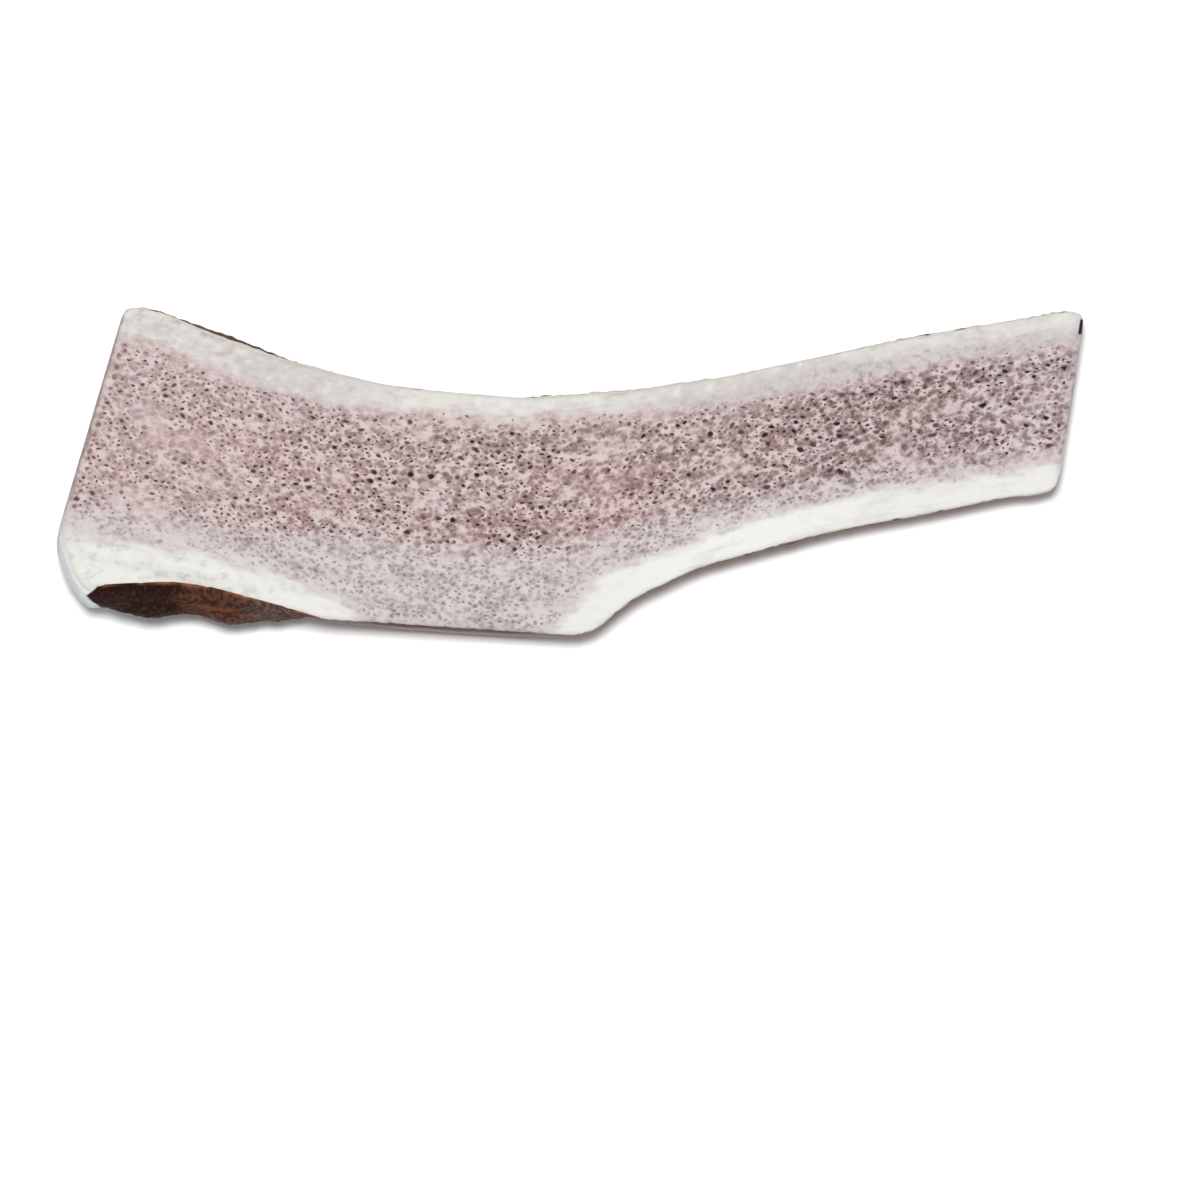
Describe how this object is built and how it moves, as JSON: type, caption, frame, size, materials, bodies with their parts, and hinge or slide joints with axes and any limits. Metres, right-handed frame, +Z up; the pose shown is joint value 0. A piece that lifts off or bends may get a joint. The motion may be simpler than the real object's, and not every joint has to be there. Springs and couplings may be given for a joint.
{
  "type": "sliced antler dog chew",
  "caption": "Piece of elk antler beam split lengthwise for a dog to chew: flat porous split face, ridged bark on the curved back, sawn ends and a sawn-off tine root.",
  "frame": {"origin": "on the surface that the piece lies on, under the middle of its box", "axes": "+X along the beam from its thick base end to its thin tip end, +Y across the beam away from the tine cut, +Z up, out of the split face, which leans by under 4 degrees as the piece lies on its bark"},
  "size_m": [0.1802, 0.0574, 0.0223],
  "materials": {
    "antler": "matte"
  },
  "bodies": {
    "root": {"antler_slice": "antler"}
  },
  "joints": []
}
